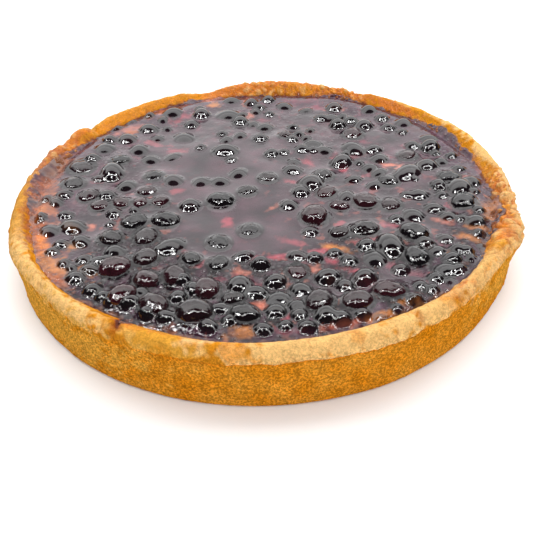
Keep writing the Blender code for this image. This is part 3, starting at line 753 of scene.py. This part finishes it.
def off_centre(x, y, place, half_length, half_width, turn):
    """Distance of each point from an oval's centre, where 1 is its outline; the turn is in degrees."""
    cos, sin = math.cos(math.radians(turn)), math.sin(math.radians(turn))
    along = (x - place[0]) * cos + (y - place[1]) * sin
    across = (y - place[1]) * cos - (x - place[0]) * sin
    return np.hypot(along / half_length, across / half_width)


def dome(off, tall, level, fullness):
    """Height of a rounded lump at each distance from its centre, and far below outside it."""
    return np.where(off < 1, level + tall * np.maximum(1 - off**fullness, 0) ** (1 / fullness), -50.0)


def mound(off, tall):
    """Height of a lump under the glaze at each distance from its centre; it is below the glaze outside."""
    return tall * (1.2 - 1.05 * off**2 - 0.3 * off**6)


def glaze_height(x, y, crowd, look):
    """Swells and relief of the glaze, how far it is over a lump, and how far over a lump or near a berry, for
    darkening: over a lump for the berry under the glaze, round a berry that stands out as painted shade.
    """
    flat = np.stack([x, y, np.zeros_like(x)], 1)
    level = surface_height(x, y)
    relief = look.ripple * 0.7 * lumps(flat, 15.0)
    relief += look.ripple * (0.1 + 0.8 * crowd) * lumps(flat, 5.5, 3.3)
    relief += look.ripple * 0.8 * crowd**2 * lumps(flat, 2.6, 8.8)
    dark_berries_and_shade = np.zeros_like(x)
    plain = [
        (px, py, width, width * BUMP_STEEPNESS, BUMP_STRETCH, LUMP_TURN * px) for px, py, width in BUMPS
    ]
    plain += [(*place, SUNKEN_STRETCH, LUMP_TURN * place[0]) for place in SUNKEN_BERRIES]
    for px, py, width, tall, long, turn in (*plain, *scattered_lumps()):
        near = np.hypot(x - px, y - py) < width * long
        foot = width * LUMP_REACH
        off = off_centre(x[near], y[near], (px, py), foot * long, foot, turn)
        relief[near] = higher_of(relief[near], mound(off, tall), LUMP_FILLET)
        dark_berries_and_shade[near] = np.maximum(dark_berries_and_shade[near], smooth_step(1.12 - off, 0, 0.22))
    smooth = dark_berries_and_shade.copy()
    for _, centre, half in berry_places():
        width = half[0] + half[1]
        near = np.hypot(x - centre[0], y - centre[1]) < width
        base = float(surface_height(centre[0], centre[1]))
        free = centre[2] + half[2] - base
        off = np.hypot(x[near] - centre[0], y[near] - centre[1]) / (width / 2)
        away = np.maximum(off - 1, 0) * width / 2
        relief[near] += (0.12 + 0.2 * crowd[near]) * min(4.0, free) * np.exp(-away / 2.0)
        cap = dome(off, half[2], centre[2] - base, BERRY_FULLNESS) - GLAZE_FILM
        cap = np.minimum(cap, GLAZE_CLIMB * free)
        relief[near] = higher_of(relief[near], cap, BERRY_FILLET)
        # Painted shade: a dark ring round each berry that stands out, full over its foot and fading to
        # nothing 1.5 mm out from it
        dark_berries_and_shade[near] = np.maximum(dark_berries_and_shade[near], smooth_step(1.5 - away, 0, 1.5))
    return level, relief, smooth, dark_berries_and_shade


def filling_colours(x, y, inside, dark_berries_and_shade, crowd, look):
    """Tint of the filling at each point."""
    flat = np.stack([x, y, np.zeros_like(x)], 1)
    wide, middle, small = lumps(flat, 11.0, 1.7), lumps(flat, 5.0, 6.1), lumps(flat, 2.2, 2.9)
    colours = np.tile(np.array(tuple(look.glaze)), (len(x), 1))
    colours = mixed(colours, "mauve", 0.3 + 0.7 * wide)
    colours = mixed(colours, "violet", 0.6 * smooth_step(np.hypot(x, y), 85, 115))
    bed = smooth_step(middle + 0.6 * small, 0.1, 0.9) * (0.15 + crowd)
    colours = mixed(colours, "rose", 0.7 * bed)
    crumbs = smooth_step(middle + 0.5 * small, 0.3, 0.6) * crowd * smooth_step(-y, -40, 50)
    colours = mixed(colours, "peach", 0.9 * crumbs)
    # Painted shade: the glaze is darkened in patches where it is crowded with lumps, more towards the front
    dark = 0.9 * crowd * smooth_step(0.5 * wide + middle, -0.5, 0.3) * smooth_step(-y, -20, 60)
    colours = mixed(colours, "night", dark)
    for px, py, half_length, half_width, turn, tint, strength in PATCHES:
        off = off_centre(x, y, (px, py), half_length, half_width, turn)
        share = smooth_step(1.2 - off + 0.5 * middle + 0.45 * small, 0.0, 1.1) * strength
        colours = mixed(colours, tint, share)
    # Darker over the berries under the glaze, and painted shade in a ring round each berry that stands out
    colours = mixed(colours, "night", (0.85 + 0.15 * crowd) * dark_berries_and_shade)
    return mixed(colours, "blush", 0.6 * (1 - dark_berries_and_shade) * smooth_step(3.0 - inside + 2.0 * small, 0.0, 3.5))


def build_filling(look):
    unit_x, unit_y = round_disc(FILLING_STEPS)
    angle = np.degrees(np.arctan2(unit_y, unit_x))
    shore = round_the_rim(angle, SHORE_SHIFTS)
    way = np.stack([np.cos(np.radians(angle)), np.sin(np.radians(angle)), np.zeros_like(angle)], 1)
    wobble = 1.8 * lumps(way * SHORE_RADIUS, 9.0, 2.3) + 1.2 * lumps(way * SHORE_RADIUS, 3.6, 4.9)
    reach = SHORE_RADIUS + shore + FILLING_OVERLAP + round_the_rim(angle, GLAZE_CREEPS)
    reach = reach + np.maximum(wobble, -0.2)
    x, y = unit_x * reach, unit_y * reach
    radius = np.hypot(x, y)
    crowd = crowding(x, y)
    level, relief, smooth, dark_berries_and_shade = glaze_height(x, y, crowd, look)
    slope = slope_height(angle, radius)
    creeping = smooth_step(radius - SHORE_RADIUS - shore, -5.0, 0.3)
    height = level + relief + (slope + FILM_ON_RIM - level - 0.85 * relief) * creeping
    dark_berries_and_shade = dark_berries_and_shade * (1 - 0.6 * creeping)
    tucked = smooth_step(np.hypot(unit_x, unit_y), 0.99, 1.0)
    height = np.where(tucked > 0, height + (slope - EDGE_TUCK - height) * tucked, height)
    top = np.stack([x, y, height], 1)
    n = FILLING_STEPS
    index = np.arange(n * n).reshape(n, n)
    corners = [index[:-1, :-1], index[:-1, 1:], index[1:, 1:], index[1:, :-1]]
    faces = np.stack(corners, -1).reshape(-1, 4).tolist()
    border = np.concatenate([index[0, :-1], index[:-1, -1], index[-1, :0:-1], index[:0:-1, 0]])
    outline = top[border]
    way = outline[:, :2] / np.hypot(outline[:, 0], outline[:, 1])[:, None]
    wall, floor = BOWL_RADIUS - FILLING_GAP, FLOOR_THICKNESS + FILLING_GAP
    shore_there = SHORE_RADIUS + shore[border] - UNDER_SHORE[0]
    rings = [
        (reach[border] - UNDER_EDGE[0], slope[border] - UNDER_EDGE[1]),
        (shore_there, np.full(len(border), SHORE_HEIGHT - UNDER_SHORE[1])),
        (SHORE_RADIUS - NECK[0] - FILLING_GAP, SHORE_HEIGHT - NECK[1]),
        (wall, floor + FILLING_BEVEL),
        (wall - FILLING_BEVEL, floor),
    ]
    points, previous = [top], border
    for ring_radius, ring_height in rings:
        start = sum(len(part) for part in points)
        ring_radius = np.broadcast_to(ring_radius, len(way))[:, None]
        ring_height = np.broadcast_to(ring_height, len(way))[:, None]
        points.append(np.hstack([way * ring_radius, ring_height]))
        ring = start + np.arange(len(way))
        faces += np.stack([previous, ring, np.roll(ring, -1), np.roll(previous, -1)], 1).tolist()
        previous = ring
    centre = sum(len(part) for part in points)
    points.append(np.array([(0, 0, floor)]))
    faces += np.stack([np.roll(previous, -1), previous, np.full_like(previous, centre)], 1).tolist()
    points = np.vstack(points)
    piece = mesh_object("glazed_filling", points, faces)
    colours = filling_colours(x, y, reach - radius, dark_berries_and_shade, crowd, look)
    hidden = len(points) - len(top)
    paint(piece, "tint", np.vstack([colours, np.tile(np.array(TINTS["plum"]), (hidden, 1))]))
    foam = 0.8 * smooth_step(radius - SHORE_RADIUS - shore, -9.0, -2.0)
    frothy = np.maximum(crowd**2, foam) * (1 - 0.9 * smooth)
    measure(piece, "crowd", np.concatenate([frothy, np.zeros(hidden)]))
    piece.data.materials.append(filling_material(look))
    return piece


# Berries


def one_berry(number, centre, half):
    """A slightly uneven, flattened ball with a shallow crown where its flower was."""
    lat = np.linspace(0, math.pi, BERRY_RINGS + 1)[1:-1]
    lon = np.arange(BERRY_STEPS) * 2 * math.pi / BERRY_STEPS
    lat, lon = (grid.ravel() for grid in np.meshgrid(lat, lon, indexing="ij"))
    way = np.stack([np.sin(lat) * np.cos(lon), np.sin(lat) * np.sin(lon), np.cos(lat)], 1)
    way = np.vstack([way, [(0, 0, 1), (0, 0, -1)]])
    side = BERRY_TURN * number
    dents = 0.14 * np.abs(lumps(way, 0.9, number * 3.7)) + 0.03 * np.abs(lumps(way, 0.4, number * 1.9))
    across = way[:, 0] ** 2 + way[:, 1] ** 2
    uneven = 0.965 - dents + BERRY_STRETCH * across * np.cos(2 * (np.arctan2(way[:, 1], way[:, 0]) - side))
    crown = Vector((math.cos(side), math.sin(side), 0.35 + 0.5 * math.sin(number * 1.3))).normalized()
    from_crown = np.degrees(np.arccos(np.clip(way @ np.array(crown), -1, 1)))
    uneven += 0.035 * hump(from_crown - 19, 7) - 0.06 * hump(from_crown, 15)
    fuller = (np.hypot(way[:, 0], way[:, 1]) ** BERRY_FULLNESS + np.abs(way[:, 2]) ** BERRY_FULLNESS) ** (
        -1 / BERRY_FULLNESS
    )
    points = centre + way * half * (uneven * fuller)[:, None]
    return points, turned_faces(BERRY_RINGS - 1, BERRY_STEPS)


def build_berries(look):
    points, faces, own = [], [], []
    count = 0
    for number, (_, centre, half) in enumerate(berry_places()):
        berry_points, berry_faces = one_berry(number, centre, half)
        points.append(berry_points)
        faces += [[count + corner for corner in face] for face in berry_faces]
        own += [(0.5 + 0.5 * math.sin(number * 12.9898)) ** 2] * len(berry_points)
        count += len(berry_points)
    piece = mesh_object("berries", np.vstack(points), faces)
    measure(piece, "own", own)
    piece.data.materials.append(berry_material(look))
    return piece


# Studio

CAMERA_PLACE = (0.0, -0.3205, 0.2199)
CAMERA_AIM = (0.0019, -0.0713, 0.0272)
CAMERA_ROLL = -2.01     # degrees
CAMERA_LENS = 46.67     # millimetres, on a square 36 mm sensor
# Small lamps that only show as glints
LAMP_PLACES = ((-0.75, -0.1, 1.2), (0.75, -0.1, 1.2), (-0.2, -0.68, 1.3))
FLOOR_HALF = 2500       # millimetres from the middle of the floor to its sides


def build_camera():
    camera = bpy.data.cameras.new("camera")
    camera.lens = CAMERA_LENS
    camera.sensor_width = 36
    camera.clip_start = 0.01
    holder = bpy.data.objects.new("camera", camera)
    bpy.context.scene.collection.objects.link(holder)
    way = Vector(CAMERA_AIM) - Vector(CAMERA_PLACE)
    facing = way.to_track_quat("-Z", "Y").to_matrix() @ Matrix.Rotation(math.radians(CAMERA_ROLL), 3, "Z")
    holder.matrix_world = Matrix.Translation(CAMERA_PLACE) @ facing.to_4x4()
    bpy.context.scene.camera = holder


def panel_light(name, place, aim, size, radiance, diffuse=True, glossy=True):
    """A rectangular light whose face has the same radiance whatever its size."""
    lamp = bpy.data.lights.new(name, "AREA")
    lamp.shape = "RECTANGLE"
    lamp.size, lamp.size_y = size
    lamp.energy = radiance * math.pi * size[0] * size[1]
    holder = bpy.data.objects.new(name, lamp)
    bpy.context.scene.collection.objects.link(holder)
    way = Vector(aim) - Vector(place)
    holder.matrix_world = Matrix.Translation(place) @ way.to_track_quat("-Z", "Y").to_matrix().to_4x4()
    holder.visible_camera = False
    holder.visible_diffuse = diffuse
    holder.visible_glossy = glossy


def build_room(look):
    """A dim room for the light and the reflections, with a white backdrop behind the floor."""
    room = bpy.data.worlds.new("studio")
    room.use_nodes = True
    tree = room.node_tree
    dim = tree.nodes["Background"]
    dim.inputs["Color"].default_value = (*look.room, 1)
    dim.inputs["Strength"].default_value = look.room_light
    backdrop = tree.nodes.new("ShaderNodeBackground")
    backdrop.inputs["Color"].default_value = (1, 1, 1, 1)
    either = tree.nodes.new("ShaderNodeMixShader")
    tree.links.new(tree.nodes.new("ShaderNodeLightPath").outputs["Is Camera Ray"], either.inputs["Fac"])
    tree.links.new(dim.outputs["Background"], either.inputs[1])
    tree.links.new(backdrop.outputs["Background"], either.inputs[2])
    tree.links.new(either.outputs["Shader"], tree.nodes["World Output"].inputs["Surface"])
    return room


def build_studio(look):
    scene = bpy.context.scene
    scene.view_settings.view_transform = "Standard"
    scene.world = build_room(look)
    build_camera()
    panel_light("back_panel", (0, 1.6, 0.8), (0, 0, 0.8), (4.4, 1.6), look.back_light)
    panel_light("ceiling_panel", (0, 0.93, 1.6), (0, 0.93, 0), (4.4, 1.3), look.back_light * 1.7)
    panel_light("front_fill", (0.5, -1.6, 0.9), (0, 0, 0.05), (2.6, 1.4), look.fill_light, glossy=False)
    panel_light("top_fill", (0, -0.2, 1.7), (0, 0, 0), (2.0, 2.0), look.fill_light, glossy=False)
    for number, place in enumerate(LAMP_PLACES):
        panel_light(f"lamp_{number + 1}", place, (0, 0, 0), (0.09, 0.09), look.lamp_light * 4, diffuse=False)
    panel_light("strip_lamp", (0, -0.36, 1.3), (0, -0.36, 0), (4.0, 0.05), look.lamp_light, diffuse=False)


def build_floor(look):
    corners = [(FLOOR_HALF * x, FLOOR_HALF * y, 0) for x, y in ((-1, -1), (1, -1), (1, 1), (-1, 1))]
    floor = mesh_object("floor", np.array(corners), [(0, 1, 2, 3)], smooth=False)
    floor.data.materials.append(floor_material(look))
    return floor


# Add-on


class CrustLook(bpy.types.PropertyGroup):
    """Finish of the pastry case."""

    crag_depth: FloatProperty(
        name="Crag depth", description="Depth of the crags on the rim, in millimetres",
        default=0.6, min=0, max=1.5
    )
    roughness: FloatProperty(
        name="Roughness", description="Roughness of the dry crust",
        default=0.72, min=0, max=1, subtype="FACTOR"
    )
    pore: FloatVectorProperty(
        name="Pores", description="Colour of the dark pores",
        default=shade(150, 72, 10), size=3, subtype="COLOR"
    )
    pore_strength: FloatProperty(
        name="Pore strength", description="How dark the pores are",
        default=0.35, min=0, max=1, subtype="FACTOR"
    )


class FillingLook(bpy.types.PropertyGroup):
    """Finish of the filling."""

    glaze: FloatVectorProperty(
        name="Glaze", description="Colour of the thick glaze",
        default=shade(36, 15, 28), size=3, subtype="COLOR"
    )
    roughness: FloatProperty(
        name="Roughness", description="Roughness of the glaze", default=0.07, min=0, max=1, subtype="FACTOR"
    )
    coat: FloatProperty(
        name="Coat", description="Clear coat over the filling", default=0.3, min=0, max=1, subtype="FACTOR"
    )
    ripple: FloatProperty(
        name="Ripple", description="Height of the glaze's ripples, in millimetres", default=0.35, min=0, max=1
    )


class BerryLook(bpy.types.PropertyGroup):
    """Finish of the berries that stand out."""

    skin: FloatVectorProperty(
        name="Skin", description="Colour of the dark skins", default=shade(9, 4, 8), size=3, subtype="COLOR"
    )
    ripe: FloatVectorProperty(
        name="Ripe", description="Colour of the reddest skins",
        default=shade(44, 10, 19), size=3, subtype="COLOR"
    )
    roughness: FloatProperty(
        name="Roughness", description="Roughness of the skin", default=0.035, min=0, max=1, subtype="FACTOR"
    )
    coat: FloatProperty(
        name="Coat", description="Clear glaze over the skin", default=0.15, min=0, max=1, subtype="FACTOR"
    )


class StudioLook(bpy.types.PropertyGroup):
    """Floor and lights."""

    floor: FloatVectorProperty(
        name="Floor", description="Colour of the floor", default=(0.9, 0.9, 0.9), size=3, subtype="COLOR"
    )
    room: FloatVectorProperty(
        name="Room", description="Colour of the room's own light", default=(1, 1, 1), size=3, subtype="COLOR"
    )
    room_light: FloatProperty(
        name="Room light", description="Strength of the room's own light", default=0.06, min=0
    )
    back_light: FloatProperty(
        name="Back light", description="Radiance of the large panels behind and above", default=1.62, min=0
    )
    fill_light: FloatProperty(
        name="Fill light", description="Radiance of the soft fills in front and on top", default=1.85, min=0
    )
    lamp_light: FloatProperty(
        name="Lamp light", description="Radiance of the small lamps", default=45.0, min=0
    )


class TART_OT_crust(bpy.types.Operator):
    """Make the pastry case with its crags, folds, cracks and baked tints"""

    bl_idname = "tart.crust"
    bl_label = "Pastry case"

    def execute(self, context):
        piece = build_crust(context.scene.tart_crust)
        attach(piece, "root")
        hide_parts("crust")
        return {"FINISHED"}


class TART_OT_filling(bpy.types.Operator):
    """Make the glazed filling with the berries that it covers"""

    bl_idname = "tart.filling"
    bl_label = "Filling"

    def execute(self, context):
        piece = build_filling(context.scene.tart_filling)
        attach(piece, "root")
        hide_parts("filling")
        return {"FINISHED"}


class TART_OT_berries(bpy.types.Operator):
    """Make the berries that stand out of the filling"""

    bl_idname = "tart.berries"
    bl_label = "Berries"

    def execute(self, context):
        piece = build_berries(context.scene.tart_berries)
        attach(piece, "root")
        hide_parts(*BERRY_NODES)
        return {"FINISHED"}


class TART_OT_studio(bpy.types.Operator):
    """Make the floor, the lights and the camera"""

    bl_idname = "tart.studio"
    bl_label = "Studio"

    def execute(self, context):
        look = context.scene.tart_studio
        build_studio(look)
        build_floor(look)
        return {"FINISHED"}


class TART_PT_sidebar(bpy.types.Panel):
    """The tart's pieces and their finishes"""

    bl_idname = "TART_PT_sidebar"
    bl_label = "Blueberry tart"
    bl_space_type = "VIEW_3D"
    bl_region_type = "UI"
    bl_category = "Tart"

    def draw(self, context):
        scene = context.scene
        for operator, look in (
            ("tart.crust", scene.tart_crust),
            ("tart.filling", scene.tart_filling),
            ("tart.berries", scene.tart_berries),
            ("tart.studio", scene.tart_studio),
        ):
            box = self.layout.box()
            box.operator(operator)
            for name in look.__annotations__:
                box.prop(look, name)


LOOKS = {
    "tart_crust": CrustLook,
    "tart_filling": FillingLook,
    "tart_berries": BerryLook,
    "tart_studio": StudioLook,
}
CLASSES = (*LOOKS.values(), TART_OT_crust, TART_OT_filling, TART_OT_berries, TART_OT_studio, TART_PT_sidebar)


def register():
    for cls in CLASSES:
        bpy.utils.register_class(cls)
    for name, look in LOOKS.items():
        setattr(bpy.types.Scene, name, PointerProperty(type=look))


def unregister():
    for name in LOOKS:
        delattr(bpy.types.Scene, name)
    for cls in reversed(CLASSES):
        bpy.utils.unregister_class(cls)


def main():
    register()
    bpy.ops.tart.studio()
    bpy.ops.tart.crust()
    bpy.ops.tart.filling()
    bpy.ops.tart.berries()


if __name__ == "__main__":
    main()
